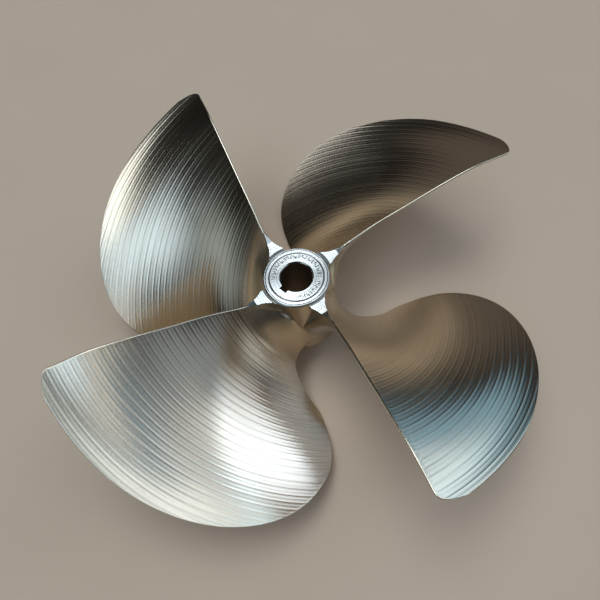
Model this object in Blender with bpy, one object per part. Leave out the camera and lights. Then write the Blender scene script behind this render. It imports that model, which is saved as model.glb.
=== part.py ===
"""Inboard boat propeller: four blades and their hub, one machined bronze casting.

The casting is modelled with the hub's aft face at Z = 0 and the shaft axis on Z, aft side
up. It is left-handed: seen from aft, each blade's leading edge lies counter-clockwise of
its trailing edge and lower. At the end the casting is set down on the floor, Z = 0, where
it stands on the lowest point of its four leading edges.
Lengths are in metres and angles in radians, unless a comment says degrees.
"""

import math

import bmesh
import bpy

# Blades
BLADE_COUNT = 4
TIP_RADIUS = 0.1842
FIRST_BLADE_ANGLE = math.radians(12.6)
EDGE_THICKNESS = 0.0016

# The trailing edge is a straight line that passes the shaft axis at this distance, turned
# about the axis from the blade's own angle by this one
TRAILING_OFFSET = 0.0082
TRAILING_TOE = math.radians(3.0)

# Rounding of the corner between trailing edge and tip
TIP_CORNER_HEIGHT = 0.0092
TIP_CORNER_SWEEP = math.radians(8.2)

# Leading edge: percentage of the tip radius, angle about the shaft in degrees
LEADING_EDGE = (
    (100, 21.3),
    (97, 46.8),
    (89, 63.4),
    (77, 74.1),
    (62, 80.1),
    (49, 80.3),
    (43, 78.8),
    (36, 72.4),
    (27, 63.7),
    (16, 61.0),
)

# Blade stations: percentage of the tip radius, pitch, height of the pressure face on the
# generator line, greatest thickness
GENERATOR_ANGLE = math.radians(40.0)
STATIONS = (
    (10, 0.430, -0.0315, 0.0115),
    (27, 0.474, -0.0311, 0.0092),
    (38, 0.525, -0.0308, 0.0078),
    (49, 0.519, -0.0270, 0.0066),
    (65, 0.516, -0.0202, 0.0049),
    (81, 0.495, -0.0134, 0.0036),
    (95, 0.447, -0.0097, 0.0026),
    (100, 0.436, -0.0078, 0.0022),
)

# Hub
HUB_LENGTH = 0.0699
HUB_AFT_RADIUS = 0.0250
HUB_FORWARD_RADIUS = 0.0290
HUB_NOSE_ROUND = 0.0035

# Turned ring that the shaft nut bears on, the relief groove round it and, beyond the
# groove, the facing cut: flat at first, then a cone that runs out on the trailing edges
RING_RADIUS = 0.0246
RING_HEIGHT = 0.0005
RING_CHAMFER = 0.0006
RELIEF_WIDTH = 0.0022
RELIEF_DEPTH = 0.0012
FACING_RADIUS = 0.0362
FACING_SLOPE = math.radians(24.0)

# Taper bore for a 1-1/8 inch shaft, 1 in 16 on the diameter, with its keyway
BORE_FORWARD_RADIUS = 0.0142875
BORE_TAPER = 1.0 / 16.0
BORE_CHAMFER = 0.0008
KEYWAY_WIDTH = 0.00635
KEYWAY_DEPTH = 0.003175
KEYWAY_ANGLE = FIRST_BLADE_ANGLE + math.radians(207.0)

# Root fillets: how far each starts outside the hub, its radius, the most it adds
FACE_FILLET = (0.0210, 0.0240, 0.0150)
TRAILING_FACE_FILLET = (0.0130, 0.0200, 0.0100)
TRAILING_BACK_FILLET = (0.0270, 0.0700, 0.0115)
TRAILING_END_FILLET = (0.0200, 0.0210, 0.0160)
LEADING_END_FILLET = (0.0130, 0.0140, 0.0060)
TRAILING_BLEND = 0.35

# Mesh fineness
TURNING_STEPS = 90
CHORD_POINTS = 15
EDGE_POINTS = 3
RELIEF_POINTS = 5
OUTER_SECTIONS = 18
FILLET_SECTIONS = 9
ROOT_RADIUS = 0.75 * HUB_AFT_RADIUS
CLEARANCE = 0.002

BRONZE_COLOUR = (0.62, 0.52, 0.36, 1.0)
BRONZE_ROUGHNESS = 0.32


def smooth_value(points, position):
    """Return the value at a position on a smooth curve through (position, value) points."""
    points = sorted(points)
    xs = [point[0] for point in points]
    ys = [point[1] for point in points]
    steps = [right - left for left, right in zip(xs, xs[1:])]
    rises = [(ys[i + 1] - ys[i]) / steps[i] for i in range(len(steps))]
    slopes = [rises[0]]
    for i in range(1, len(steps)):
        weighted = steps[i] * rises[i - 1] + steps[i - 1] * rises[i]
        slopes.append(weighted / (steps[i - 1] + steps[i]))
    slopes.append(rises[-1])
    piece = 0
    while piece < len(steps) - 1 and position > xs[piece + 1]:
        piece += 1
    step = steps[piece]
    t = (position - xs[piece]) / step
    return (
        ys[piece] * (1 + 2 * t) * (1 - t) ** 2
        + slopes[piece] * step * t * (1 - t) ** 2
        + ys[piece + 1] * t * t * (3 - 2 * t)
        + slopes[piece + 1] * step * t * t * (t - 1)
    )


def station_value(radius, column):
    """Return one column of the station table at a radius."""
    points = [(percent / 100 * TIP_RADIUS, row[column]) for percent, *row in STATIONS]
    return smooth_value(points, radius)


def trailing_angle(radius):
    """Return the trailing edge's angle about the shaft at a radius."""
    angle = TRAILING_TOE + math.asin(TRAILING_OFFSET / radius)
    corner_start = TIP_RADIUS - TIP_CORNER_HEIGHT
    if radius > corner_start:
        climb = min(1.0, (radius - corner_start) / TIP_CORNER_HEIGHT)
        angle += TIP_CORNER_SWEEP * (1.0 - math.sqrt(1.0 - climb * climb))
    return angle


def leading_angle(radius):
    """Return the leading edge's angle about the shaft at a radius."""
    points = [(math.acos(percent / 100), math.radians(degrees)) for percent, degrees in LEADING_EDGE]
    return smooth_value(points, math.acos(min(1.0, radius / TIP_RADIUS)))


def fillet(shape, radius):
    """Return how much a root fillet adds to the blade at a radius."""
    reach, fillet_radius, limit = shape
    depth = min(HUB_FORWARD_RADIUS + reach - radius, fillet_radius)
    if depth <= 0.0:
        return 0.0
    return min(limit, fillet_radius - math.sqrt(fillet_radius**2 - depth**2))


def blade_section(radius, has_fillets=True):
    """Return the closed outline of the blade where a cylinder of this radius cuts it.

    The outline is worked out on the unrolled cylinder, as arc length and height: along the
    pressure face from the trailing edge to the leading edge, round that edge, back along
    the suction face and round the trailing edge.
    """
    pitch = station_value(radius, 0)
    generator_height = station_value(radius, 1)
    thickness = station_value(radius, 2)
    start = trailing_angle(radius)
    end = leading_angle(radius)
    lead = math.atan2(pitch, 2 * math.pi * radius)
    chord = (math.cos(lead), -math.sin(lead))
    normal = (math.sin(lead), math.cos(lead))
    edge_inset = EDGE_THICKNESS / 2 * chord[0] / radius
    start += edge_inset
    end -= edge_inset
    scale = 1.0 if has_fillets else 0.0
    face_fillet = scale * fillet(FACE_FILLET, radius)
    trailing_face = scale * fillet(TRAILING_FACE_FILLET, radius)
    trailing_back = scale * fillet(TRAILING_BACK_FILLET, radius)

    def place(along, offset, forward=0.0):
        """Return a point from its share of the chord, height over the face and overhang."""
        angle = start + (end - start) * along
        height = generator_height - pitch * (angle - GENERATOR_ANGLE) / (2 * math.pi)
        return (
            radius * angle + normal[0] * offset + chord[0] * forward,
            height + normal[1] * offset + chord[1] * forward,
        )

    def blended(trailing, along):
        """Return a fillet that changes from its trailing edge value to the face value."""
        mix = min(1.0, along / TRAILING_BLEND)
        mix = mix * mix * (3 - 2 * mix)
        return trailing + (face_fillet - trailing) * mix

    def edge(along, face, back, reach):
        """Return the points round one edge, from the pressure side to the suction side."""
        half = EDGE_THICKNESS / 2
        points = []
        for i in range(1, EDGE_POINTS + 1):
            turn = math.pi / 2 - math.pi * i / (EDGE_POINTS + 1)
            side = face if turn > 0 else back
            height = (half + side) * math.sin(turn) - half
            points.append(place(along, height, reach * math.cos(turn)))
        return points

    shares = [0.5 - 0.5 * math.cos(math.pi * i / (CHORD_POINTS - 1)) for i in range(CHORD_POINTS)]
    face_side = [place(s, blended(trailing_face, s)) for s in shares]
    back_side = []
    for s in shares:
        depth = EDGE_THICKNESS + (thickness - EDGE_THICKNESS) * 4 * s * (1 - s)
        back_side.append(place(s, -depth - blended(trailing_back, s)))
    leading_reach = EDGE_THICKNESS / 2 + scale * fillet(LEADING_END_FILLET, radius)
    trailing_reach = EDGE_THICKNESS / 2 + scale * fillet(TRAILING_END_FILLET, radius)
    leading_edge = edge(1.0, face_fillet, face_fillet, leading_reach)
    trailing_edge = edge(0.0, trailing_face, trailing_back, -trailing_reach)
    outline = face_side + leading_edge + back_side[::-1] + trailing_edge[::-1]
    return [
        (radius * math.cos(arc / radius), radius * math.sin(arc / radius), height)
        for arc, height in outline
    ]


def section_radii():
    """Return the radii of the blade's sections from the first outside its root to the tip."""
    fillet_end = HUB_FORWARD_RADIUS + FACE_FILLET[0]
    inner = HUB_AFT_RADIUS - RING_CHAMFER
    radii = [
        inner + (fillet_end - inner) * (i / FILLET_SECTIONS) ** 1.4
        for i in range(FILLET_SECTIONS)
    ]
    spread = math.acos(fillet_end / TIP_RADIUS)
    radii += [
        TIP_RADIUS * math.cos(spread * (1.0 - i / OUTER_SECTIONS))
        for i in range(OUTER_SECTIONS + 1)
    ]
    return radii


def new_object(name, mesh):
    """Return a new object for a mesh, linked to the scene."""
    thing = bpy.data.objects.new(name, mesh)
    bpy.context.collection.objects.link(thing)
    return thing


def finish_mesh(name, bm):
    """Turn a bmesh into a mesh datablock with its faces pointing out."""
    bmesh.ops.recalc_face_normals(bm, faces=bm.faces)
    mesh = bpy.data.meshes.new(name)
    bm.to_mesh(mesh)
    bm.free()
    return mesh


def make_guide(thing):
    """Keep an object out of the finished model, as a shape that others are made with."""
    thing.hide_render = True
    thing.display_type = "WIRE"


def blade_mesh():
    """Return the mesh of one blade, lofted from its sections and closed at both ends."""
    sections = [blade_section(ROOT_RADIUS, has_fillets=False)]
    sections += [blade_section(radius) for radius in section_radii()]
    bm = bmesh.new()
    rings = []
    for section in sections:
        verts = [bm.verts.new(point) for point in section]
        rings.append([bm.edges.new((verts[i - 1], verts[i])) for i in range(len(verts))])
    for inner, outer in zip(rings, rings[1:]):
        bmesh.ops.bridge_loops(bm, edges=inner + outer)
    for ring in (rings[0], rings[-1]):
        bmesh.ops.contextual_create(bm, geom=ring)
    bmesh.ops.triangulate(bm, faces=bm.faces)
    return finish_mesh("blade", bm)


def turned_mesh(name, profile):
    """Return a solid of revolution about Z from a profile of (radius, height) points."""
    bm = bmesh.new()
    verts = [bm.verts.new((radius, 0.0, height)) for radius, height in profile]
    edges = [bm.edges.new(pair) for pair in zip(verts, verts[1:])]
    bmesh.ops.spin(
        bm,
        geom=verts + edges,
        cent=(0, 0, 0),
        axis=(0, 0, 1),
        angle=2 * math.pi,
        steps=TURNING_STEPS,
        use_merge=True,
    )
    bmesh.ops.remove_doubles(bm, verts=bm.verts, dist=1e-6)
    return finish_mesh(name, bm)


def hub_profile():
    """Return the hub blank's profile, with stock left above the aft face."""
    nose = HUB_NOSE_ROUND
    bottom = -HUB_LENGTH
    profile = [(0.0, CLEARANCE), (HUB_AFT_RADIUS, CLEARANCE)]
    for i in range(4):
        turn = math.radians(30 * i)
        profile.append((
            HUB_FORWARD_RADIUS - nose + nose * math.cos(turn),
            bottom + nose - nose * math.sin(turn),
        ))
    profile.append((0.0, bottom))
    return profile


def facing_profile():
    """Return the profile of what is turned away above the ring, the fingers and the hub."""
    outer = 1.5 * FACING_RADIUS
    rise = (outer - FACING_RADIUS) * math.tan(FACING_SLOPE)
    top = TIP_RADIUS
    profile = [
        (0.0, top),
        (outer, top),
        (outer, rise - RING_HEIGHT),
        (FACING_RADIUS, -RING_HEIGHT),
    ]
    for i in range(RELIEF_POINTS + 1):
        turn = math.pi * i / RELIEF_POINTS
        radius = RING_RADIUS + RELIEF_WIDTH / 2 * (1 + math.cos(turn))
        profile.append((radius, -RING_HEIGHT - RELIEF_DEPTH * math.sin(turn)))
    profile += [(RING_RADIUS - RING_CHAMFER, 0.0), (0.0, 0.0)]
    return profile


def bore_radius(height):
    """Return the taper bore's radius at a height."""
    return BORE_FORWARD_RADIUS - (height + HUB_LENGTH) * BORE_TAPER / 2


def bore_profile():
    """Return the profile of the taper bore, chamfered where it meets both hub faces."""
    aft = CLEARANCE
    forward = -HUB_LENGTH - CLEARANCE
    flare = BORE_CHAMFER + CLEARANCE
    return [
        (0.0, aft),
        (bore_radius(0.0) + flare, aft),
        (bore_radius(-BORE_CHAMFER), -BORE_CHAMFER),
        (bore_radius(-HUB_LENGTH + BORE_CHAMFER), -HUB_LENGTH + BORE_CHAMFER),
        (bore_radius(-HUB_LENGTH) + flare, forward),
        (0.0, forward),
    ]


def keyway_mesh():
    """Return the keyway's cutter, whose floor runs along the taper at an even depth."""
    aft = CLEARANCE
    forward = -HUB_LENGTH - CLEARANCE
    bm = bmesh.new()
    bmesh.ops.create_cube(bm, size=KEYWAY_WIDTH)
    for vert in bm.verts:
        height = aft if vert.co.z > 0 else forward
        floor = bore_radius(height) + KEYWAY_DEPTH
        vert.co.x = floor if vert.co.x > 0 else 0.0
        vert.co.z = height
    return finish_mesh("keyway", bm)


def cast_and_machine():
    """Return the finished casting: hub and blades joined, faced, bored and keyed."""
    casting = new_object("propeller", turned_mesh("hub", hub_profile()))
    blade = blade_mesh()
    tools = []
    for i in range(BLADE_COUNT):
        guide = new_object(f"blade_{i + 1}", blade)
        guide.rotation_euler.z = FIRST_BLADE_ANGLE + 2 * math.pi * i / BLADE_COUNT
        tools.append((guide, "UNION"))
    tools.append((new_object("facing_cut", turned_mesh("facing_cut", facing_profile())), "DIFFERENCE"))
    tools.append((new_object("bore_cut", turned_mesh("bore_cut", bore_profile())), "DIFFERENCE"))
    keyway = new_object("keyway_cut", keyway_mesh())
    keyway.rotation_euler.z = KEYWAY_ANGLE
    tools.append((keyway, "DIFFERENCE"))
    for tool, operation in tools:
        make_guide(tool)
        boolean = casting.modifiers.new(tool.name, "BOOLEAN")
        boolean.operation = operation
        boolean.solver = "EXACT"
        boolean.object = tool
    return casting


def settle(casting):
    """Apply the machining, shade the casting and set it down on the floor."""
    depsgraph = bpy.context.evaluated_depsgraph_get()
    mesh = bpy.data.meshes.new_from_object(casting.evaluated_get(depsgraph))
    casting.modifiers.clear()
    casting.data = mesh
    bm = bmesh.new()
    bm.from_mesh(mesh)
    bmesh.ops.remove_doubles(bm, verts=bm.verts, dist=2e-5)
    bmesh.ops.dissolve_degenerate(bm, edges=bm.edges, dist=2e-5)
    bmesh.ops.triangulate(bm, faces=bm.faces)
    bm.to_mesh(mesh)
    bm.free()
    mesh.shade_smooth()
    mesh.set_sharp_from_angle(angle=math.radians(35))
    casting.location.z = -min(vert.co.z for vert in mesh.vertices)


def bronze():
    """Return the casting's material."""
    material = bpy.data.materials.new("machined_bronze")
    material.use_nodes = True
    shader = material.node_tree.nodes["Principled BSDF"]
    shader.inputs["Base Color"].default_value = BRONZE_COLOUR
    shader.inputs["Metallic"].default_value = 1.0
    shader.inputs["Roughness"].default_value = BRONZE_ROUGHNESS
    return material


def main():
    """Clear the scene and build the propeller."""
    for thing in list(bpy.data.objects):
        bpy.data.objects.remove(thing, do_unlink=True)
    casting = cast_and_machine()
    settle(casting)
    casting.data.materials.clear()
    casting.data.materials.append(bronze())


main()
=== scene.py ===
"""Looks of a four-bladed bronze boat propeller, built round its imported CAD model.

The casting is shown as five pieces that stand for the one CAD node: the hub and four like
blades. Each blade is a screw surface with real milling ridges, concentric with the shaft.
The hub is turned, bored, keyed and marked. Lengths are metres and angles radians, unless a
name or a comment says degrees. The shaft axis is Z, aft side up.
"""

import logging
import math
from dataclasses import dataclass, field
from enum import Enum

import bpy
import numpy as np
from mathutils import Matrix, Quaternion, Vector


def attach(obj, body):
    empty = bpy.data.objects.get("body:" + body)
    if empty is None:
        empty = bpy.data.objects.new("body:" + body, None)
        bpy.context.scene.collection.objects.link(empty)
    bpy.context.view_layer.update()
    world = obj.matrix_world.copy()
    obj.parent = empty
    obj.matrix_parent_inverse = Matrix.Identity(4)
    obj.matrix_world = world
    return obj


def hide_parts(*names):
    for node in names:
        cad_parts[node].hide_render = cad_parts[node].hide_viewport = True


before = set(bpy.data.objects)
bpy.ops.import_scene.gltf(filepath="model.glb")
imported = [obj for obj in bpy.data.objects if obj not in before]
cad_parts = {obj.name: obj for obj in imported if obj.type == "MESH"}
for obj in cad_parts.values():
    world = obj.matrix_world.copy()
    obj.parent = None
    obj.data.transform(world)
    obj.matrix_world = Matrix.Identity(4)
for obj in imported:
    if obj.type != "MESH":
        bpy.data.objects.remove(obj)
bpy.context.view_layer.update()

CAD_NODE = "propeller"
BODY = "root"
AFT_FACE_HEIGHT = 0.086433
LOG = logging.getLogger("propeller_looks")

Piece = bpy.types.Object
Socket = bpy.types.NodeSocket
Feed = Socket | float | tuple[float, ...]
Pair = tuple[float, float]
Point = tuple[float, float, float]
Colour = tuple[float, float, float]


class Finish(Enum):
    """The casting's finishes, and the painted shade of its grooves, in the order of the hub's
    material slots.
    """

    MILLED = "milled"
    TURNED = "turned"
    BORED = "bored"
    # Painted shade: a dark bronze laid in grooves, standing in for the shade and dark reflections
    # there.
    GROOVED = "painted_groove_shade"
    STAMPED = "stamped"
    BACKED = "backed"

    @property
    def slot(self) -> int:
        """Return which of the hub's material slots holds the finish."""
        return list(Finish).index(self)


class LampShape(Enum):
    """The outlines that a fill panel may have."""

    ELLIPSE = "ELLIPSE"
    RECTANGLE = "RECTANGLE"


Materials = dict[Finish, bpy.types.Material]


# --- Modelling by hand ---


def put_tools_down() -> None:
    """Leave edit mode and deselect every object."""
    if bpy.context.object is not None and bpy.context.object.mode != "OBJECT":
        bpy.ops.object.mode_set(mode="OBJECT")
    bpy.ops.object.select_all(action="DESELECT")


def take_up(piece: Piece) -> None:
    """Make one object the only selected and the active one.

    Args:
        piece: The object.
    """
    put_tools_down()
    piece.select_set(True)
    bpy.context.view_layer.objects.active = piece


def open_mesh(select: str = "SELECT") -> None:
    """Enter edit mode with everything selected, or else with nothing."""
    bpy.ops.object.mode_set(mode="EDIT")
    bpy.ops.mesh.select_all(action=select)


def close_mesh() -> None:
    """Turn every face outward and leave edit mode."""
    bpy.ops.mesh.select_all(action="SELECT")
    bpy.ops.mesh.normals_make_consistent(inside=False)
    bpy.ops.object.mode_set(mode="OBJECT")


def draw_profile(name: str, points: list[Pair]) -> Piece:
    """Draw a chain of edges in the XZ plane by extruding one vertex from point to point.

    Args:
        name: The new object's name.
        points: The chain as (radius, height), in order.

    Returns:
        The new object, in object mode.
    """
    put_tools_down()
    bpy.ops.mesh.primitive_plane_add(size=0.001, location=(0.0, 0.0, 0.0))
    piece = bpy.context.object
    piece.name = name
    open_mesh()
    bpy.ops.mesh.merge(type="CENTER")
    radius, height = points[0]
    bpy.ops.transform.translate(value=(radius, 0.0, height))
    for (r0, z0), (r1, z1) in zip(points, points[1:]):
        bpy.ops.mesh.extrude_region_move(TRANSFORM_OT_translate={"value": (r1 - r0, 0.0, z1 - z0)})
    bpy.ops.object.mode_set(mode="OBJECT")
    return piece


def turn_on_lathe(piece: Piece, steps: int) -> None:
    """Spin a drawn profile once round the shaft axis into a closed shell.

    Args:
        piece: An object that holds only its profile.
        steps: How many faces go round.
    """
    take_up(piece)
    open_mesh()
    bpy.ops.mesh.spin(steps=steps, angle=2.0 * math.pi, center=(0, 0, 0), axis=(0, 0, 1))
    bpy.ops.mesh.select_all(action="SELECT")
    bpy.ops.mesh.remove_doubles(threshold=1e-6)
    close_mesh()


def cut_away(piece: Piece, cutter: Piece) -> None:
    """Cut one object with another, which leaves its material on the cut, and delete the cutter.

    Args:
        piece: The object that is cut.
        cutter: A closed solid.
    """
    take_up(piece)
    cut = piece.modifiers.new("cut", "BOOLEAN")
    cut.operation = "DIFFERENCE"
    cut.solver = "EXACT"
    cut.material_mode = "TRANSFER"
    cut.object = cutter
    bpy.ops.object.modifier_apply(modifier=cut.name)
    bpy.data.objects.remove(cutter, do_unlink=True)


def smooth(piece: Piece, degrees: float) -> None:
    """Shade an object smooth, apart from edges sharper than an angle."""
    take_up(piece)
    bpy.ops.object.shade_smooth_by_angle(angle=math.radians(degrees))


def lift_to_place(piece: Piece, height: float, turn: float = 0.0) -> None:
    """Raise and turn an object about the shaft axis, with its place kept in its mesh.

    Args:
        piece: The object, modelled with the hub's aft face at height 0.
        height: How far it is raised.
        turn: Its angle about the shaft axis.
    """
    take_up(piece)
    piece.location.z = height
    piece.rotation_euler.z = turn
    bpy.ops.object.transform_apply(location=True, rotation=True, scale=True)


# --- Shader work ---


@dataclass(frozen=True)
class NodeDesk:
    """Places and joins the nodes of one node tree."""

    tree: bpy.types.NodeTree

    def add(self, kind: str, *sources: Feed, **settings: object) -> bpy.types.Node:
        """Add a node, set its properties and feed its inputs in order.

        Args:
            kind: The node's class name.
            *sources: What feeds its first inputs.
            **settings: Properties to set on it.

        Returns:
            The new node.
        """
        node = self.tree.nodes.new(kind)
        for name, value in settings.items():
            setattr(node, name, value)
        for source, target in zip(sources, node.inputs):
            self.join(source, target)
        return node

    def feed(self, node: bpy.types.Node, **sources: Feed) -> bpy.types.Node:
        """Feed a node's inputs by name.

        Args:
            node: The node.
            **sources: What feeds each input, named with _ for a space.

        Returns:
            The same node.
        """
        for name, source in sources.items():
            self.join(source, node.inputs[name.replace("_", " ")])
        return node

    def join(self, source: Feed, target: Socket) -> None:
        """Feed a socket from another socket, or set it to a constant.

        Args:
            source: A socket, a number or a tuple.
            target: The input socket.
        """
        if isinstance(source, Socket):
            self.tree.links.new(source, target)
        else:
            target.default_value = source

    def math(self, operation: str, a: Feed, b: Feed = 0.0) -> Socket:
        """Return the result of a Math node."""
        return self.add("ShaderNodeMath", a, b, operation=operation).outputs[0]

    def plus(self, a: Feed, b: Feed) -> Socket:
        """Return the sum of two values."""
        return self.math("ADD", a, b)

    def times(self, a: Feed, b: Feed) -> Socket:
        """Return the product of two values."""
        return self.math("MULTIPLY", a, b)

    def centred(self, value: Feed) -> Socket:
        """Return a value from 0 to 1 moved down, so that its middle is 0."""
        return self.math("SUBTRACT", value, 0.5)

    def wave(self, count: Feed) -> Socket:
        """Return a triangle wave from 0 to 1, one for each unit of a count."""
        return self.times(self.math("PINGPONG", count, 0.5), 2.0)

    def scatter(self, number: Feed) -> Socket:
        """Return a value from 0 to 1 that looks random, one for each whole number."""
        node = self.add("ShaderNodeTexWhiteNoise", noise_dimensions="1D")
        return self.feed(node, W=self.math("FLOOR", number)).outputs["Value"]

    def ramp(self, value: Feed, *ends: float) -> Socket:
        """Return a smooth step between ends (from, to), and results (start, end) if given."""
        node = self.add("ShaderNodeMapRange", value, *ends, interpolation_type="SMOOTHSTEP")
        return node.outputs[0]

    def mix(self, share: Feed, a: Feed, b: Feed) -> Socket:
        """Return a mix of two colours, by the share of the second."""
        node = self.add("ShaderNodeMix", data_type="RGBA")
        return self.feed(node, Factor=share, A=a, B=b).outputs["Result"]

    def noise(self, place: Feed, scale: float, detail: float = 2.0) -> Socket:
        """Return a noise value at a place, with so many features per metre."""
        node = self.add("ShaderNodeTexNoise")
        return self.feed(node, Vector=place, Scale=scale, Detail=detail).outputs["Fac"]

    def group(self, tree: bpy.types.NodeTree, **sources: Feed) -> bpy.types.Node:
        """Return a placed node group, fed by name."""
        return self.feed(self.add("ShaderNodeGroup", node_tree=tree), **sources)


@dataclass
class Effects:
    """The shader groups that more than one finish uses, each built once.

    Noises are in features per metre.
    """

    line_noise: float = 90.0
    bite_noise: float = 220.0
    bite_drift: float = 1.5
    cloud_noises: tuple[Pair, ...] = ((28.0, 3.0), (900.0, 2.0))

    def __post_init__(self) -> None:
        """Build the groups."""
        self.shaft_place = self._shaft_place()
        self.turned_lines = self._turned_lines()
        self.feed_marks = self._feed_marks()
        self.cloud = self._cloud()

    @staticmethod
    def _new_group(
        name: str, inputs: dict[str, Feed], outputs: tuple[str, ...]
    ) -> tuple[NodeDesk, dict[str, Socket], dict[str, Socket]]:
        """Start a group.

        Args:
            name: The group's name.
            inputs: Each input's name with its value, a 3-tuple for a vector.
            outputs: The names of the outputs, all numbers.

        Returns:
            Its desk, its inputs' sockets by name and its outputs' sockets by name.
        """
        tree = bpy.data.node_groups.new(name, "ShaderNodeTree")
        for label, value in inputs.items():
            kind = "NodeSocketVector" if isinstance(value, tuple) else "NodeSocketFloat"
            socket = tree.interface.new_socket(label, in_out="INPUT", socket_type=kind)
            socket.default_value = value
        for label in outputs:
            tree.interface.new_socket(label, in_out="OUTPUT", socket_type="NodeSocketFloat")
        desk = NodeDesk(tree)
        way_in = desk.add("NodeGroupInput")
        way_out = desk.add("NodeGroupOutput")
        return desk, {n: way_in.outputs[n] for n in inputs}, {n: way_out.inputs[n] for n in outputs}

    def _shaft_place(self) -> bpy.types.NodeTree:
        """Build the group that gives a position's radius and angle about the shaft.

        Returns:
            The group.
        """
        inputs = {"Position": (0.0, 0.0, 0.0)}
        desk, given, result = self._new_group("shaft_place", inputs, ("Radius", "Angle"))
        x, y, _ = desk.add("ShaderNodeSeparateXYZ", given["Position"]).outputs
        squared = desk.plus(desk.times(x, x), desk.times(y, y))
        desk.join(desk.math("SQRT", squared), result["Radius"])
        desk.join(desk.math("ARCTAN2", y, x), result["Angle"])
        return desk.tree

    def _turned_lines(self) -> bpy.types.NodeTree:
        """Build the group of fine lines that a tool leaves round the shaft.

        Returns:
            The group.
        """
        inputs = {"Position": (0.0, 0.0, 0.0), "Spacing": 0.0004, "Jitter": 0.3}
        desk, given, result = self._new_group("turned_lines", inputs, ("Height", "Tone"))
        place = desk.group(self.shaft_place, Position=given["Position"])
        uneven = desk.centred(desk.noise(given["Position"], self.line_noise))
        drift = desk.times(uneven, given["Jitter"])
        count = desk.math("DIVIDE", place.outputs["Radius"], given["Spacing"])
        count = desk.plus(count, drift)
        desk.join(desk.wave(count), result["Height"])
        desk.join(desk.scatter(count), result["Tone"])
        return desk.tree

    def _feed_marks(self) -> bpy.types.NodeTree:
        """Build the group of short marks across the ridges, one for each bite.

        Returns:
            The group.
        """
        inputs = {"Position": (0.0, 0.0, 0.0), "Spacing": 0.0009, "Row": 0.0048}
        desk, given, result = self._new_group("feed_marks", inputs, ("Height",))
        place = desk.group(self.shaft_place, Position=given["Position"])
        shift = desk.scatter(desk.math("DIVIDE", place.outputs["Radius"], given["Row"]))
        arc = desk.times(place.outputs["Angle"], place.outputs["Radius"])
        drift = desk.times(desk.noise(given["Position"], self.bite_noise), self.bite_drift)
        count = desk.plus(desk.math("DIVIDE", arc, given["Spacing"]), shift)
        desk.join(desk.wave(desk.plus(count, drift)), result["Height"])
        return desk.tree

    def _cloud(self) -> bpy.types.NodeTree:
        """Build the group of soft patches, coarse and fine, centred on 0.

        Returns:
            The group.
        """
        inputs = {"Position": (0.0, 0.0, 0.0)}
        desk, given, result = self._new_group("cloud", inputs, ("Coarse", "Fine"))
        for name, (scale, detail) in zip(result, self.cloud_noises):
            desk.join(desk.centred(desk.noise(given["Position"], scale, detail)), result[name])
        return desk.tree


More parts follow.
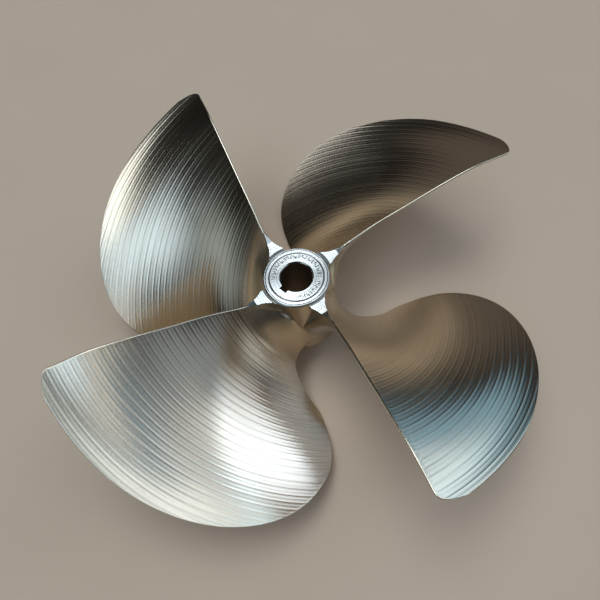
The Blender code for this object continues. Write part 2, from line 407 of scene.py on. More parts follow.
@dataclass(frozen=True)
class Bronze:
    """A bare bronze finish.

    The tool lines lie round the shaft. Feed marks and hatching lie across them.
    """

    name: str
    colour: Colour
    dark_colour: Colour
    roughness: float
    roughness_swing: float
    anisotropy: float
    line_spacing: float
    line_depth: float
    line_wander: float = 0.3
    line_tone: float = 0.25
    patchiness: float = 0.9
    feed_spacing: float = 0.0009
    feed_depth: float = 0.0
    marks_from: float = 0.0
    hatch_from: float = 0.0
    hatch_depth: float = 0.0
    hatches_per_radian: float = 46.0
    hatch_edge: float = 0.0002
    root_roughness: float = 0.0
    root_blend: float = 0.006
    base_tone: float = 0.35
    fine_share: float = 0.6
    calm_share: float = 0.12
    calm_edge: float = 0.0004
    anisotropic_turn: float = 0.25

    def make(self, effects: Effects) -> bpy.types.Material:
        """Build the material.

        Args:
            effects: The shared shader groups.

        Returns:
            The new material.
        """
        material = bpy.data.materials.new(self.name)
        material.use_nodes = True
        material.diffuse_color = (*self.colour, 1.0)
        desk = NodeDesk(material.node_tree)
        shader = material.node_tree.nodes["Principled BSDF"]
        position = desk.add("ShaderNodeTexCoord").outputs["Object"]
        place = desk.group(effects.shaft_place, Position=position)
        radius = place.outputs["Radius"]
        lines = desk.group(effects.turned_lines, Position=position)
        desk.feed(lines, Spacing=self.line_spacing, Jitter=self.line_wander)
        cloud = desk.group(effects.cloud, Position=position)

        tone = desk.plus(desk.times(cloud.outputs["Coarse"], self.patchiness), self.base_tone)
        tone = desk.plus(tone, desk.times(lines.outputs["Tone"], self.line_tone))
        dark = desk.ramp(tone, 0.0, 1.0)
        colour = desk.mix(dark, (*self.colour, 1.0), (*self.dark_colour, 1.0))

        fine = desk.times(cloud.outputs["Fine"], self.fine_share)
        line = desk.centred(lines.outputs["Tone"])
        swing = desk.plus(desk.plus(cloud.outputs["Coarse"], fine), line)
        rough = desk.plus(desk.times(swing, self.roughness_swing), self.roughness)
        if self.root_roughness:
            inmost = self.hatch_from - self.root_blend
            root = desk.ramp(radius, inmost, self.marks_from, self.root_roughness, 0.0)
            rough = desk.plus(rough, root)

        height = desk.times(lines.outputs["Height"], self.line_depth)
        if self.feed_depth:
            feed = desk.group(effects.feed_marks, Position=position, Spacing=self.feed_spacing)
            height = desk.plus(height, desk.times(feed.outputs["Height"], self.feed_depth))
        if self.marks_from:
            calm = self.marks_from - self.calm_edge
            marked = desk.ramp(radius, calm, self.marks_from, self.calm_share, 1.0)
            height = desk.times(height, marked)
        if self.hatch_depth:
            height = desk.plus(height, self._hatching(desk, place))
        bump = desk.feed(desk.add("ShaderNodeBump"), Strength=1.0, Distance=1.0, Height=height)

        tangent = desk.add("ShaderNodeTangent", direction_type="RADIAL", axis="Z")
        desk.feed(
            shader, Base_Color=colour, Metallic=1.0, Roughness=rough,
            Normal=bump.outputs["Normal"], Anisotropic=self.anisotropy,
            Anisotropic_Rotation=self.anisotropic_turn, Tangent=tangent.outputs["Tangent"],
        )
        return material

    def _hatching(self, desk: NodeDesk, place: bpy.types.Node) -> Socket:
        """Return the height of the short radial passes in the root fillets.

        Args:
            desk: The material's desk.
            place: The node that gives the radius and the angle.

        Returns:
            The height's socket.
        """
        radius = place.outputs["Radius"]
        count = desk.times(place.outputs["Angle"], self.hatches_per_radian)
        passes = desk.math("PINGPONG", count, 0.5)
        inner = desk.ramp(radius, self.hatch_from, self.marks_from)
        outer = desk.ramp(radius, self.marks_from, self.marks_from + self.hatch_edge, 1.0, 0.0)
        return desk.times(passes, desk.times(desk.times(inner, outer), self.hatch_depth))


@dataclass(frozen=True)
class Finishes:
    """The finishes of the casting, and the painted shade of its grooves."""

    milled: Bronze = Bronze(
        "milled_bronze", (0.72, 0.60, 0.43), (0.60, 0.48, 0.32),
        roughness=0.21, roughness_swing=0.05, anisotropy=0.35,
        line_spacing=0.0012, line_depth=0.000004, line_wander=0.05, line_tone=0.12,
        patchiness=0.4, feed_spacing=0.0008, feed_depth=0.000008, marks_from=0.0499,
        hatch_from=0.041, hatch_depth=0.00012, root_roughness=0.14,
    )
    backed: Bronze = Bronze(
        "milled_back_bronze", (0.66, 0.61, 0.51), (0.56, 0.51, 0.42),
        roughness=0.32, roughness_swing=0.05, anisotropy=0.30,
        line_spacing=0.0012, line_depth=0.000004, line_wander=0.05, line_tone=0.12,
        patchiness=0.4,
    )
    turned: Bronze = Bronze(
        "turned_bronze", (0.95, 0.89, 0.77), (0.68, 0.64, 0.55),
        roughness=0.22, roughness_swing=0.14, anisotropy=0.30,
        line_spacing=0.00055, line_depth=0.000022, line_wander=0.25, line_tone=0.9,
    )
    # Painted shade: the grooves are darkened in colour, for the shade and dark reflections that
    # fall in them.
    painted_groove_shade: Bronze = Bronze(
        "grooved_bronze", (0.34, 0.32, 0.29), (0.18, 0.17, 0.15),
        roughness=0.30, roughness_swing=0.10, anisotropy=0.20,
        line_spacing=0.0003, line_depth=0.000006,
    )
    stamped: Bronze = Bronze(
        "stamped_bronze", (0.15, 0.14, 0.12), (0.07, 0.065, 0.06),
        roughness=0.45, roughness_swing=0.10, anisotropy=0.0,
        line_spacing=0.0003, line_depth=0.0,
    )
    bored: Bronze = Bronze(
        "bored_bronze", (0.34, 0.27, 0.19), (0.18, 0.13, 0.09),
        roughness=0.38, roughness_swing=0.12, anisotropy=0.2,
        line_spacing=0.0004, line_depth=0.000006,
    )


# --- Blades ---


def smooth_value(points: list[Pair], position: float) -> float:
    """Return the value at a position on a smooth curve through (position, value) points.

    Args:
        points: The curve's points, in any order.
        position: Where it is read.

    Returns:
        The value there.
    """
    points = sorted(points)
    xs, ys = zip(*points)
    steps = [right - left for left, right in zip(xs, xs[1:])]
    rises = [(ys[i + 1] - ys[i]) / steps[i] for i in range(len(steps))]
    slopes = [rises[0]]
    for i in range(1, len(steps)):
        weighted = steps[i] * rises[i - 1] + steps[i - 1] * rises[i]
        slopes.append(weighted / (steps[i - 1] + steps[i]))
    slopes.append(rises[-1])
    piece = 0
    while piece < len(steps) - 1 and position > xs[piece + 1]:
        piece += 1
    step = steps[piece]
    t = (position - xs[piece]) / step
    return (
        ys[piece] * (1 + 2 * t) * (1 - t) ** 2
        + slopes[piece] * step * t * (1 - t) ** 2
        + ys[piece + 1] * t * t * (3 - 2 * t)
        + slopes[piece + 1] * step * t * t * (t - 1)
    )


@dataclass(frozen=True)
class Fillet:
    """A root fillet: how far it starts outside the hub, its radius, the most it adds."""

    reach: float
    radius: float
    limit: float

    def at(self, hub_radius: float, radius: float) -> float:
        """Return how much the fillet adds.

        Args:
            hub_radius: The hub's radius.
            radius: Where it is asked, from the shaft's axis.

        Returns:
            The metal that it adds there.
        """
        depth = min(hub_radius + self.reach - radius, self.radius)
        if depth <= 0.0:
            return 0.0
        return min(self.limit, self.radius - math.sqrt(self.radius**2 - depth**2))


@dataclass(frozen=True)
class Ridges:
    """The scallops that the ball cutter leaves: a deep cusp, a shallow one, and so on."""

    start: float = 0.0500
    pitch: float = 0.0024
    deep: float = 0.000095
    shallow: float = 0.000030
    swing: float = 0.10
    sink: float = 0.000050
    shares: tuple[float, ...] = (0.0, 0.12, 0.28, 0.5, 0.72, 0.88)
    land: float = 0.011
    scatter: Pair = (12.9898, 43758.5453)

    def cusp(self, number: int) -> float:
        """Return the height of one cusp; no two passes of the cutter leave quite the same.

        Args:
            number: Which cusp, counted outward.

        Returns:
            Its height.
        """
        uneven = math.sin(number * self.scatter[0]) * self.scatter[1]
        tall = self.deep if number % 2 == 0 else self.shallow
        return tall * (1.0 + self.swing * (2.0 * (uneven - math.floor(uneven)) - 1.0))

    def height(self, radius: float) -> float:
        """Return how far the metal stands proud of the smooth blade.

        Args:
            radius: Where it is asked.

        Returns:
            The height there, below 0 between the cusps.
        """
        count = (radius - self.start) / self.pitch
        if count < 0.0:
            return 0.0
        whole = math.floor(count + 1e-9)
        share = count - whole
        return self.cusp(whole if share < 0.5 else whole + 1) * (2.0 * share - 1.0) ** 2 - self.sink

    def fade(self, along: float) -> float:
        """Return how much of a ridge is left at a share of the chord; the edges are plain."""
        share = min(1.0, min(along, 1.0 - along) / self.land)
        return share * share * (3.0 - 2.0 * share)

    def radii(self, end: float) -> list[float]:
        """Return the radii at which the ridges are sampled.

        Args:
            end: The radius where they stop.

        Returns:
            The radii, outward.
        """
        rows = []
        number = 0
        while self.start + number * self.pitch < end:
            rows += [self.start + (number + share) * self.pitch for share in self.shares]
            number += 1
        return [radius for radius in rows if radius < end]


@dataclass(frozen=True)
class BladeForm:
    """The form of one blade, with the sizes of the part's own source."""

    tip_radius: float = 0.1842
    rim_radius: float = 0.1840
    edge_thickness: float = 0.0016
    trailing_offset: float = 0.0082
    trailing_toe: float = math.radians(3.0)
    corner_height: float = 0.0098
    corner_sweep: float = math.radians(8.3)
    leading_edge: tuple[Pair, ...] = (
        (100, 21.3), (97, 46.8), (89, 63.4), (77, 74.1), (62, 80.1),
        (49, 79.9), (43, 78.4), (36, 72.3), (27, 63.7), (16, 61.0),
    )
    generator_angle: float = math.radians(40.0)
    stations: tuple[tuple[float, float, float, float], ...] = (
        (10, 0.430, -0.0315, 0.0115),
        (27, 0.474, -0.0311, 0.0092),
        (38, 0.525, -0.0308, 0.0078),
        (49, 0.519, -0.0270, 0.0066),
        (65, 0.516, -0.0202, 0.0049),
        (81, 0.495, -0.0134, 0.0036),
        (95, 0.447, -0.0097, 0.0026),
        (100, 0.436, -0.0078, 0.0022),
    )
    hub_radius: float = 0.0290
    root_radius: float = 0.01875
    first_row: float = 0.0244
    root_rows: int = 34
    root_crowding: float = 1.15
    rim_share: float = 0.6
    rim_turns: tuple[float, ...] = (0, 30, 55, 75, 90)
    face_fillet: Fillet = Fillet(0.0210, 0.0240, 0.0150)
    trailing_face_fillet: Fillet = Fillet(0.0130, 0.0200, 0.0100)
    trailing_back_fillet: Fillet = Fillet(0.0270, 0.0700, 0.0115)
    trailing_end_fillet: Fillet = Fillet(0.0200, 0.0210, 0.0160)
    leading_end_fillet: Fillet = Fillet(0.0130, 0.0140, 0.0060)
    trailing_blend: float = 0.35
    ridges: Ridges = Ridges()
    chord_points: int = 58
    edge_points: int = 5

    def station(self, radius: float, column: int) -> float:
        """Return one column of the station table at a radius."""
        points = [(row[0] / 100 * self.tip_radius, row[column]) for row in self.stations]
        return smooth_value(points, radius)

    def trailing_angle(self, radius: float) -> float:
        """Return the trailing edge's angle about the shaft.

        Args:
            radius: Where it is asked.

        Returns:
            The angle there.
        """
        angle = self.trailing_toe + math.asin(self.trailing_offset / radius)
        corner_start = self.tip_radius - self.corner_height
        if radius > corner_start:
            climb = min(1.0, (radius - corner_start) / self.corner_height)
            angle += self.corner_sweep * (1.0 - math.sqrt(1.0 - climb * climb))
        return angle

    def leading_angle(self, radius: float) -> float:
        """Return the leading edge's angle about the shaft at a radius."""
        points = [(math.acos(share / 100), math.radians(turn)) for share, turn in self.leading_edge]
        return smooth_value(points, math.acos(min(1.0, radius / self.tip_radius)))

    def rows(self) -> list[tuple[float, float, bool]]:
        """Return where the blade's sections lie.

        Returns:
            For each its radius, its share of the thickness and whether it has fillets.
        """
        rows = [(self.root_radius, 1.0, False)]
        band = self.ridges.start - self.first_row
        for i in range(self.root_rows):
            share = (i / self.root_rows) ** self.root_crowding
            rows.append((self.first_row + band * share, 1.0, True))
        rim = self.edge_thickness * self.rim_share
        rows += [(radius, 1.0, True) for radius in self.ridges.radii(self.rim_radius - rim)]
        for degrees in self.rim_turns:
            turn = math.radians(degrees)
            rows.append((self.rim_radius - rim + rim * math.sin(turn), math.cos(turn), True))
        return rows

    def columns(self) -> int:
        """Return how many points go round one section."""
        return 2 * self.chord_points + 2 * self.edge_points

    def section(self, radius: float, squeeze: float, has_fillets: bool) -> list[Point]:
        """Return the blade's closed outline where a cylinder of this radius cuts it.

        Args:
            radius: The cylinder's radius.
            squeeze: Share of the full thickness, 0 at the very rim of the tip.
            has_fillets: Whether the root fillets are added.

        Returns:
            Points along the pressure side from the trailing edge, round the leading edge,
            back along the suction side and round the trailing edge.
        """
        pitch = self.station(radius, 1)
        generator_height = self.station(radius, 2)
        thickness = self.station(radius, 3)
        lead = math.atan2(pitch, 2 * math.pi * radius)
        chord = (math.cos(lead), -math.sin(lead))
        normal = (math.sin(lead), math.cos(lead))
        edge_inset = self.edge_thickness / 2 * chord[0] / radius
        start = self.trailing_angle(radius) + edge_inset
        end = self.leading_angle(radius) - edge_inset

        def add(fillet: Fillet) -> float:
            """Return what a fillet adds to this section."""
            return fillet.at(self.hub_radius, radius) if has_fillets else 0.0

        face_add = add(self.face_fillet)
        trailing_face = add(self.trailing_face_fillet)
        trailing_back = add(self.trailing_back_fillet)
        ridge = self.ridges.height(radius)
        half_edge = self.edge_thickness / 2

        def place(along: float, offset: float, forward: float = 0.0) -> Point:
            """Return a point of the section.

            Args:
                along: Its share of the chord, from the trailing edge.
                offset: How far it lies off the pressure side.
                forward: How far it lies past that share of the chord.

            Returns:
                The point.
            """
            angle = start + (end - start) * along
            height = generator_height - pitch * (angle - self.generator_angle) / (2 * math.pi)
            offset = -half_edge + (offset + half_edge) * squeeze
            arc = angle + (normal[0] * offset + chord[0] * forward) / radius
            height += normal[1] * offset + chord[1] * forward
            return (radius * math.cos(arc), radius * math.sin(arc), height)

        def blended(trailing: float, along: float) -> float:
            """Return what the fillets add at a share of the chord.

            Args:
                trailing: What they add at the trailing edge.
                along: The share.

            Returns:
                A smooth blend from there to the blade's middle.
            """
            mix = min(1.0, along / self.trailing_blend)
            mix = mix * mix * (3 - 2 * mix)
            return trailing + (face_add - trailing) * mix

        def edge(along: float, face: float, back: float, reach: float) -> list[Point]:
            """Return the points round one edge.

            Args:
                along: The edge's share of the chord, 0 or 1.
                face: What the fillets add on the pressure side.
                back: What they add on the suction side.
                reach: How far the edge stands out, less than 0 at the trailing edge.

            Returns:
                The points, from the pressure side to the suction side.
            """
            points = []
            for i in range(1, self.edge_points + 1):
                turn = math.pi / 2 - math.pi * i / (self.edge_points + 1)
                side = face if turn > 0 else back
                height = (half_edge + side) * math.sin(turn) - half_edge
                points.append(place(along, height, reach * math.cos(turn) * squeeze))
            return points

        last = self.chord_points - 1
        shares = [0.5 - 0.5 * math.cos(math.pi * i / last) for i in range(self.chord_points)]
        pressure = []
        suction = []
        for share in shares:
            proud = ridge * self.ridges.fade(share)
            belly = (thickness - self.edge_thickness) * 4 * share * (1 - share)
            depth = self.edge_thickness + belly
            pressure.append(place(share, proud + blended(trailing_face, share)))
            suction.append(place(share, -depth - proud - blended(trailing_back, share)))
        leading_reach = half_edge + add(self.leading_end_fillet)
        trailing_reach = half_edge + add(self.trailing_end_fillet)
        leading = edge(1.0, face_add, face_add, leading_reach)
        trailing = edge(0.0, trailing_face, trailing_back, -trailing_reach)
        return pressure + leading + suction[::-1] + trailing[::-1]


@dataclass
class Blades:
    """The four blades: one is modelled, faced where the hub is turned, and copied.

    They sink a little, so that no ridge stands out of the CAD model's box.
    """

    count: int = 4
    first_angle: float = math.radians(12.6)
    sink: float = 0.00004
    underside: float = -0.05
    smooth_degrees: float = 32.0
    form: BladeForm = field(default_factory=BladeForm)

    def build(self, facing: "FacingCut", finishes: Materials) -> list[Piece]:
        """Build the blades.

        Args:
            facing: The turning cut across the blades' trailing ends.
            finishes: The materials.

        Returns:
            The blades, in place.
        """
        blade = self._skin()
        blade.data.materials.append(finishes[Finish.MILLED])
        blade.data.materials.append(finishes[Finish.BACKED])
        for face in blade.data.polygons:
            if face.normal.z < self.underside:
                face.material_index = 1
        cut_away(blade, facing.cutter(finishes))
        smooth(blade, self.smooth_degrees)
        blades = []
        for number in range(self.count):
            take_up(blade)
            bpy.ops.object.duplicate(linked=False)
            copy = bpy.context.object
            copy.name = f"blade_{number + 1}"
            turn = self.first_angle + 2 * math.pi * number / self.count
            lift_to_place(copy, AFT_FACE_HEIGHT - self.sink, turn)
            blades.append(copy)
        bpy.data.objects.remove(blade, do_unlink=True)
        return blades

    def _skin(self) -> Piece:
        """Wrap a fine grid round the blade's sections and close its seam, tip and root.

        Returns:
            The blade, not yet faced.
        """
        rows = self.form.rows()
        put_tools_down()
        bpy.ops.mesh.primitive_grid_add(
            x_subdivisions=self.form.columns(), y_subdivisions=len(rows) - 1, size=1.0
        )
        blade = bpy.context.object
        blade.name = "blade"
        places = []
        for radius, squeeze, has_fillets in rows:
            outline = self.form.section(radius, squeeze, has_fillets)
            places += outline + outline[:1]
        blade.data.vertices.foreach_set("co", np.array(places, dtype=np.float32).ravel())
        blade.data.update()
        open_mesh()
        bpy.ops.mesh.remove_doubles(threshold=2e-6)
        bpy.ops.mesh.select_mode(type="VERT")
        bpy.ops.mesh.select_all(action="DESELECT")
        bpy.ops.mesh.select_non_manifold()
        bpy.ops.mesh.edge_face_add()
        close_mesh()
        return blade


# --- Hub ---


@dataclass(frozen=True)
class FacingCut:
    """What is turned away above the fingers: flat, then a cone, with a relief groove."""

    ring_radius: float = 0.0246
    ring_height: float = 0.0005
    ring_chamfer: float = 0.0006
    relief_width: float = 0.0022
    relief_depth: float = 0.0012
    radius: float = 0.0362
    slope: float = math.radians(24.0)
    scallop: float = 0.0013
    scallop_depth: float = 0.00007
    scallop_lean: float = 0.35
    clearance: float = 0.0002
    reach: float = 1.5
    top: float = 0.15
    # How deep in the relief groove the painted shade starts, as a share of its depth.
    groove_shade_from: float = 0.15
    relief_steps: int = 10
    steps: int = 180

    def relief(self, steps: int) -> list[Pair]:
        """Return the relief groove's profile.

        Args:
            steps: How many edges it has.

        Returns:
            Its points as (radius, height), from its outer to its inner edge.
        """
        points = []
        for i in range(steps + 1):
            turn = math.pi * i / steps
            radius = self.ring_radius + self.relief_width / 2 * (1 + math.cos(turn))
            points.append((radius, -self.ring_height - self.relief_depth * math.sin(turn)))
        return points

    def face(self, radius: float) -> float:
        """Return the height of the faced surface outside the relief groove."""
        return max(0.0, radius - self.radius) * math.tan(self.slope) - self.ring_height

    def tool_rings(self, outer: float) -> list[Pair]:
        """Return the faced surface's profile inwards, with the rings that the tool leaves.

        Args:
            outer: The radius where it starts.

        Returns:
            Its points as (radius, height), down to just outside the relief groove.
        """
        points = []
        inner = self.ring_radius + self.relief_width + self.clearance
        count = math.ceil((outer - inner) / self.scallop)
        for i in range(count):
            radius = outer - (outer - inner) * i / count
            half = radius - (outer - inner) * self.scallop_lean / count
            points.append((radius, self.face(radius)))
            points.append((half, self.face(half) - self.scallop_depth))
        return points

    def cutter(self, finishes: Materials) -> Piece:
        """Build the closed solid that is turned away, which leaves a relief groove with painted
        shade deep in it.

        Args:
            finishes: The materials.

        Returns:
            The cutter.
        """
        outer = self.reach * self.radius
        profile = [(0.0, self.top), (outer, self.top)]
        profile += [*self.tool_rings(outer), *self.relief(self.relief_steps)]
        profile += [(self.ring_radius - self.ring_chamfer, 0.0), (0.0, 0.0)]
        cutter = draw_profile("facing_cutter", profile)
        turn_on_lathe(cutter, self.steps)
        cutter.data.materials.append(finishes[Finish.TURNED])
        cutter.data.materials.append(finishes[Finish.GROOVED])
        # The faces deep in the relief groove get the painted groove shade.
        groove_shade_height = -self.ring_height - self.groove_shade_from * self.relief_depth
        for face in cutter.data.polygons:
            radius = math.hypot(face.center.x, face.center.y)
            if face.center.z < groove_shade_height and radius < self.ring_radius + self.relief_width:
                face.material_index = 1
        return cutter


@dataclass
class Hub:
    """The hub: a turned barrel with its ring, grooves, taper bore, keyway and plain marks."""

    length: float = 0.0699
    aft_radius: float = 0.0250
    forward_radius: float = 0.0290
    nose_round: float = 0.0035
    bore_forward_radius: float = 0.0142875
    bore_taper: float = 1.0 / 16.0
    bore_chamfer: float = 0.0008
    keyway_width: float = 0.00635
    keyway_depth: float = 0.003175
    keyway_clearance: float = 0.002
    keyway_angle: float = math.radians(12.6 + 207.0)
    mark_rows: tuple[float, ...] = (0.0155, 0.0172, 0.0189)
    mark_depth: float = 0.0004
    strokes: str = "1001022010030120010330010"
    bare_arcs: tuple[Pair, ...] = ((178.0, 262.0), (338.0, 350.0))
    groove_radii: tuple[float, ...] = (0.0146, 0.0203, 0.0231)
    groove_widths: tuple[float, ...] = (0.0004, 0.0013, 0.0008)
    groove_depths: tuple[float, ...] = (0.00015, 0.0007, 0.0004)
    groove_form: tuple[Pair, ...] = ((-0.5, 0.0), (-0.3, 0.8), (0.0, 1.0), (0.3, 0.8), (0.5, 0.0))
    groove_zone: float = 0.001
    turned_share: float = 1.1
    relief_steps: int = 24
    relief_step_down: float = 0.0001
    nose_steps: int = 8
    steps: int = 240
    smooth_degrees: float = 28.0
    steep: float = 0.9

    def bore_radius(self, height: float) -> float:
        """Return the taper bore's radius at a height."""
        return self.bore_forward_radius - (height + self.length) * self.bore_taper / 2

    def build(self, facing: FacingCut, finishes: Materials) -> Piece:
        """Build the hub.

        Args:
            facing: The turning cut, which sets the ring's edge.
            finishes: The materials.

        Returns:
            The hub, in place.
        """
        hub = draw_profile("hub", self._profile(facing))
        turn_on_lathe(hub, self.steps)
        for finish in Finish:
            hub.data.materials.append(finishes[finish])
        self._dress(hub, facing)
        self._engrave(hub)
        cut_away(hub, self._keyway(finishes[Finish.BORED]))
        smooth(hub, self.smooth_degrees)
        lift_to_place(hub, AFT_FACE_HEIGHT)
        return hub

    def _profile(self, facing: FacingCut) -> list[Pair]:
        """Return the hub's closed profile.

        Args:
            facing: The turning cut, which sets the ring's edge.

        Returns:
            Its points as (radius, height), from the bore's aft edge round and back to it.
        """
        chamfer = self.bore_chamfer
        points = [(self.bore_radius(0.0) + chamfer, 0.0)]
        face = [(radius, 0.0) for radius in self.mark_rows]
        for radius, width, depth in zip(self.groove_radii, self.groove_widths, self.groove_depths):
            face += [(radius + width * across, -depth * down) for across, down in self.groove_form]
        points += sorted(face)
        points.append((facing.ring_radius - facing.ring_chamfer, 0.0))
        relief = reversed(facing.relief(self.relief_steps))
        points += [point for point in relief if point[0] <= self.aft_radius]
        points.append((self.aft_radius, points[-1][1] - self.relief_step_down))
        nose = self.nose_round
        for i in range(self.nose_steps + 1):
            turn = math.radians(90.0 * i / self.nose_steps)
            radius = self.forward_radius - nose + nose * math.cos(turn)
            points.append((radius, -self.length + nose - nose * math.sin(turn)))
        points.append((self.bore_radius(-self.length) + chamfer, -self.length))
        points.append((self.bore_radius(-self.length + chamfer), -self.length + chamfer))
        points.append((self.bore_radius(-chamfer), -chamfer))
        points.append(points[0])
        return points

    def _dress(self, hub: Piece, facing: FacingCut) -> None:
        """Give each face of the hub its finish: barrel milled, both ends turned, bore bored; the
        ring's two wide grooves get painted shade.

        Args:
            hub: The turned hub.
            facing: The turning cut.
        """
        lowest_turned = -facing.ring_height - facing.relief_depth * self.turned_share
        for face in hub.data.polygons:
            centre = face.center
            radius = math.hypot(centre.x, centre.y)
            outward = (face.normal.x * centre.x + face.normal.y * centre.y) / max(radius, 1e-9)
            finish = Finish.MILLED
            if outward < -self.steep:
                finish = Finish.BORED
            elif centre.z > lowest_turned or face.normal.z < -self.steep:
                finish = Finish.TURNED
            # The ring's two wide grooves get the painted groove shade.
            in_zone = centre.z > -self.groove_zone and finish is Finish.TURNED
            if in_zone and self._in_groove(radius):
                finish = Finish.GROOVED
            elif radius > facing.ring_radius and centre.z > -self.length / 2:
                finish = Finish.MILLED
            face.material_index = finish.slot

    def _in_groove(self, radius: float) -> bool:
        """Return whether a radius lies in one of the ring's two wide grooves."""
        grooves = zip(self.groove_radii[1:], self.groove_widths[1:])
        return any(abs(radius - middle) < width / 2 for middle, width in grooves)

    def _engrave(self, hub: Piece) -> None:
        """Sink plain strokes that spell nothing into the ring.

        Args:
            hub: The turned hub, in its own frame.
        """
        take_up(hub)
        open_mesh("DESELECT")
        bpy.ops.object.mode_set(mode="OBJECT")
        for face in hub.data.polygons:
            is_level = abs(face.center.z) < 1e-6 and face.normal.z > self.steep
            if is_level and self._marked(face.center):
                face.select = True
                face.material_index = Finish.STAMPED.slot
        bpy.ops.object.mode_set(mode="EDIT")
        bpy.ops.mesh.select_mode(type="FACE")
        bpy.ops.mesh.extrude_region_move(
            TRANSFORM_OT_translate={"value": (0.0, 0.0, -self.mark_depth)}
        )
        bpy.ops.mesh.select_all(action="DESELECT")
        bpy.ops.object.mode_set(mode="OBJECT")

    def _marked(self, place: Vector) -> bool:
        """Return whether a stroke covers a place on the ring's face.

        The strokes are told by one figure for each step round the shaft: 0 for none, 1 for a
        whole stroke, 2 for its inner half and 3 for its outer half.

        Args:
            place: The place.

        Returns:
            Whether it is marked.
        """
        inner, middle, outer = self.mark_rows
        radius = math.hypot(place.x, place.y)
        angle = math.degrees(math.atan2(place.y, place.x)) % 360.0
        if not inner < radius < outer or any(low < angle < high for low, high in self.bare_arcs):
            return False
        kind = self.strokes[int(angle / 360.0 * self.steps) % len(self.strokes)]
        return kind in ("12" if radius < middle else "13")

    def _keyway(self, bored: bpy.types.Material) -> Piece:
        """Build the keyway's cutter, whose floor runs along the taper at an even depth.

        Args:
            bored: The material that the cut leaves.

        Returns:
            The cutter.
        """
        put_tools_down()
        bpy.ops.mesh.primitive_cube_add(size=self.keyway_width)
        cutter = bpy.context.object
        cutter.name = "keyway_cutter"
        for vert in cutter.data.vertices:
            past = self.keyway_clearance
            height = past if vert.co.z > 0 else -self.length - past
            floor = self.bore_radius(height) + self.keyway_depth
            vert.co.x = floor if vert.co.x > 0 else 0.0
            vert.co.z = height
        cutter.data.materials.append(bored)
        lift_to_place(cutter, 0.0, self.keyway_angle)
        return cutter


# --- Studio ---


@dataclass(frozen=True)
class SoftPanel:
    """A soft round light far away: where it stands, in degrees, its width, and its colour."""

    azimuth: float
    elevation: float
    core: float
    edge: float
    colour: Colour

    def axis(self) -> Vector:
        """Return the direction to the panel; azimuth 0 is +Y and 90 is +X.

        Returns:
            The direction, of length 1.
        """
        azimuth = math.radians(self.azimuth)
        elevation = math.radians(self.elevation)
        level = math.cos(elevation)
        return Vector((level * math.sin(azimuth), level * math.cos(azimuth), math.sin(elevation)))


@dataclass(frozen=True)
class FillPanel:
    """A small soft panel that hangs near the blades and lights one of them alone."""

    blade: int
    place: Point
    faces: Point
    width: float
    height: float
    power: float
    colour: Colour
    shape: LampShape = LampShape.ELLIPSE
    roll: float = 0.0
    spread: float = math.pi

    def build(self, blades: list[Piece]) -> None:
        """Hang the panel.

        Args:
            blades: The blades, of which it lights one.
        """
        lamp = bpy.data.lights.new("fill_panel", "AREA")
        lamp.shape = self.shape.value
        lamp.size = self.width
        lamp.size_y = self.height
        lamp.energy = self.power
        lamp.color = self.colour
        lamp.spread = self.spread
        panel = bpy.data.objects.new("fill_panel", lamp)
        panel.location = self.place
        aim = Vector(self.faces).to_track_quat("-Z", "Y")
        panel.rotation_euler = (aim @ Quaternion((0.0, 0.0, 1.0), self.roll)).to_euler()
        panel.visible_camera = False
        bpy.context.scene.collection.objects.link(panel)
        lit = bpy.data.collections.new("filled_blade")
        lit.objects.link(blades[self.blade])
        panel.light_linking.receiver_collection = lit
        panel.light_linking.blocker_collection = lit


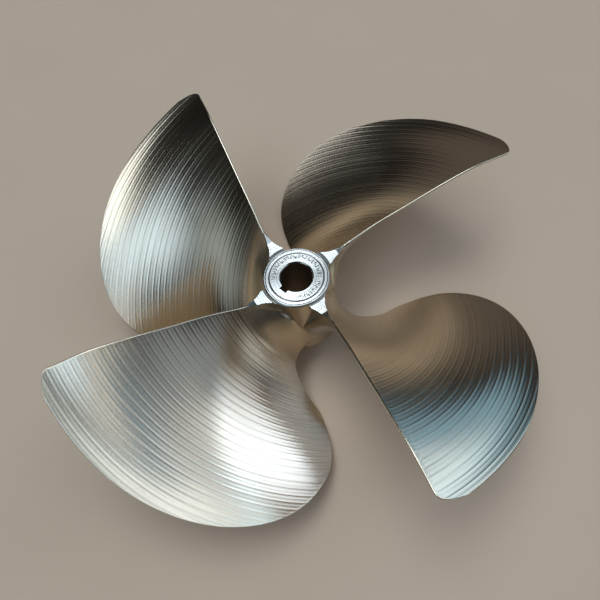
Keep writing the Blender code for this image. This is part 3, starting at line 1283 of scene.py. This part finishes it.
@dataclass
class Studio:
    """The pale floor, darkened by painted shade beyond the camera's view, the soft light and the
    camera.
    """

    floor_size: float = 6.0
    floor_middle: Point = (-0.02, 0.21, -0.0001)
    # Painted shade: between these radii the floor fades to a dark colour, for the blades to
    # reflect.
    pale_radii: Pair = (0.46, 0.70)
    painted_far_shade: Colour = (0.10, 0.072, 0.050)
    floor_colour: Colour = (0.680, 0.474, 0.308)
    floor_roughness: float = 0.75
    mottle_shade: float = 0.93
    mottle_noise: Pair = (9.0, 4.0)
    base: Colour = (0.010, 0.010, 0.010)
    backdrop: Colour = (0.045, 0.044, 0.044)
    panels: tuple[SoftPanel, ...] = (
        SoftPanel(-93.2, 67.9, 2.5, 15.0, (2.57, 3.00, 3.60)),
        SoftPanel(-1.5, 76.4, 5.0, 20.0, (2.48, 2.95, 3.55)),
        SoftPanel(-35.9, 73.4, 5.0, 20.0, (1.63, 2.11, 2.66)),
        SoftPanel(-137.6, 55.7, 5.0, 20.0, (1.14, 1.61, 2.32)),
        SoftPanel(87.9, 56.3, 2.5, 15.0, (1.43, 1.62, 1.99)),
        SoftPanel(66.0, 35.3, 3.1, 18.8, (1.12, 1.59, 2.23)),
        SoftPanel(165.2, 61.7, 2.0, 12.0, (1.06, 1.19, 1.39)),
        SoftPanel(121.1, 72.0, 1.6, 9.6, (0.94, 1.05, 1.22)),
        SoftPanel(117.9, -2.0, 2.0, 12.0, (0.89, 1.00, 1.17)),
        SoftPanel(93.3, 33.6, 2.0, 12.0, (0.86, 0.98, 1.20)),
        SoftPanel(47.3, 18.9, 2.5, 15.0, (0.27, 0.54, 0.89)),
        SoftPanel(-125.8, 21.2, 6.2, 25.0, (0.38, 0.50, 0.64)),
        SoftPanel(118.4, 27.9, 7.8, 31.2, (0.29, 0.37, 0.50)),
        SoftPanel(105.3, 66.5, 7.4, 22.5, (0.19, 0.35, 0.56)),
        SoftPanel(7.3, 5.0, 4.9, 29.3, (0.10, 0.09, 0.09)),
    )
    camera_place: Point = (0.0, -0.19612, 0.42990)
    camera_right: Point = (0.986783, -0.143961, -0.074393)
    camera_up: Point = (0.162047, 0.87765, 0.451077)
    camera_lens: float = 32.27
    sensor: float = 36.0
    fills: tuple[FillPanel, ...] = (
        FillPanel(
            2, (0.024, -0.098, 0.078), (-0.88, -0.24, -0.41), 0.044, 0.078, 0.0036,
            (0.76, 1.00, 1.45), spread=math.radians(84.0),
        ),
        FillPanel(
            2, (0.030, -0.085, 0.026), (-0.93, -0.33, -0.10), 0.090, 0.040, 0.0006,
            (0.76, 1.00, 1.45), spread=math.radians(84.0),
        ),
        FillPanel(
            0, (-0.181, 0.264, 0.291), (0.574, -0.345, -0.743), 0.260, 0.110, 0.095,
            (1.00, 1.12, 1.35), LampShape.RECTANGLE, roll=math.radians(-20.0),
        ),
    )

    def build(self, blades: list[Piece]) -> None:
        """Build the floor, the light and the camera.

        Args:
            blades: The blades, some of which have a light of their own.
        """
        self._floor()
        self._light()
        for fill in self.fills:
            fill.build(blades)
        self._camera()

    def _floor(self) -> None:
        """Lay the floor just under the blades, pale wherever the camera sees it and darkened
        farther out by painted shade, which the blades reflect.
        """
        put_tools_down()
        bpy.ops.mesh.primitive_plane_add(size=self.floor_size, location=self.floor_middle)
        floor = bpy.context.object
        floor.name = "floor"
        material = bpy.data.materials.new("floor_card")
        material.use_nodes = True
        desk = NodeDesk(material.node_tree)
        shader = material.node_tree.nodes["Principled BSDF"]
        shader.inputs["Roughness"].default_value = self.floor_roughness
        position = desk.add("ShaderNodeTexCoord").outputs["Object"]
        darker = tuple(self.mottle_shade * value for value in self.floor_colour)
        mottle = desk.noise(position, *self.mottle_noise)
        pale = desk.mix(mottle, (*self.floor_colour, 1.0), (*darker, 1.0))
        # Painted shade: the floor darkens with distance from its middle.
        away = desk.add("ShaderNodeVectorMath", position, operation="LENGTH")
        far = desk.ramp(away.outputs["Value"], *self.pale_radii)
        desk.join(desk.mix(far, pale, (*self.painted_far_shade, 1.0)), shader.inputs["Base Color"])
        floor.data.materials.append(material)

    def _light(self) -> None:
        """Light the scene from soft panels round it, in front of a plain backdrop."""
        world = bpy.data.worlds.new("studio_light")
        bpy.context.scene.world = world
        world.use_nodes = True
        desk = NodeDesk(world.node_tree)
        background = world.node_tree.nodes["Background"]
        direction = desk.add("ShaderNodeTexCoord").outputs["Generated"]
        total = self.base
        for panel in self.panels:
            feeds = (direction, tuple(panel.axis()))
            dot = desk.add("ShaderNodeVectorMath", *feeds, operation="DOT_PRODUCT")
            edge, core = (math.cos(math.radians(width)) for width in (panel.edge, panel.core))
            glow = desk.ramp(dot.outputs["Value"], edge, core)
            feeds = (glow, panel.colour, total)
            total = desk.add("ShaderNodeVectorMath", *feeds, operation="MULTIPLY_ADD").outputs[0]
        seen = desk.add("ShaderNodeLightPath").outputs["Is Camera Ray"]
        desk.join(desk.mix(seen, total, (*self.backdrop, 1.0)), background.inputs["Color"])

    def _camera(self) -> None:
        """Set the camera up at the photograph's viewing angle."""
        data = bpy.data.cameras.new("camera")
        data.lens = self.camera_lens
        data.sensor_width = self.sensor
        data.clip_start = 0.01
        camera = bpy.data.objects.new("camera", data)
        bpy.context.scene.collection.objects.link(camera)
        right = Vector(self.camera_right)
        up = Vector(self.camera_up)
        turn = Matrix((right, up, right.cross(up))).transposed()
        camera.matrix_world = Matrix.Translation(self.camera_place) @ turn.to_4x4()
        bpy.context.scene.camera = camera
        bpy.context.scene.view_settings.view_transform = "Standard"


def hand_over(piece: Piece) -> None:
    """Tie a finished piece to the CAD body, hide the CAD node that it stands for, and report it.

    Args:
        piece: The piece, at the origin.
    """
    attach(piece, BODY)
    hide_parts(CAD_NODE)
    LOG.info("%s: %d faces", piece.name, len(piece.data.polygons))


def main() -> None:
    """Build the hub, the blades and the studio."""
    logging.basicConfig(level=logging.INFO, format="%(name)s: %(message)s")
    effects = Effects()
    finishes = Finishes()
    materials = {finish: getattr(finishes, finish.value).make(effects) for finish in Finish}
    facing = FacingCut()
    hub = Hub().build(facing, materials)
    hand_over(hub)
    blades = Blades().build(facing, materials)
    for blade in blades:
        hand_over(blade)
    Studio().build(blades)
    put_tools_down()


if __name__ == "__main__":
    main()
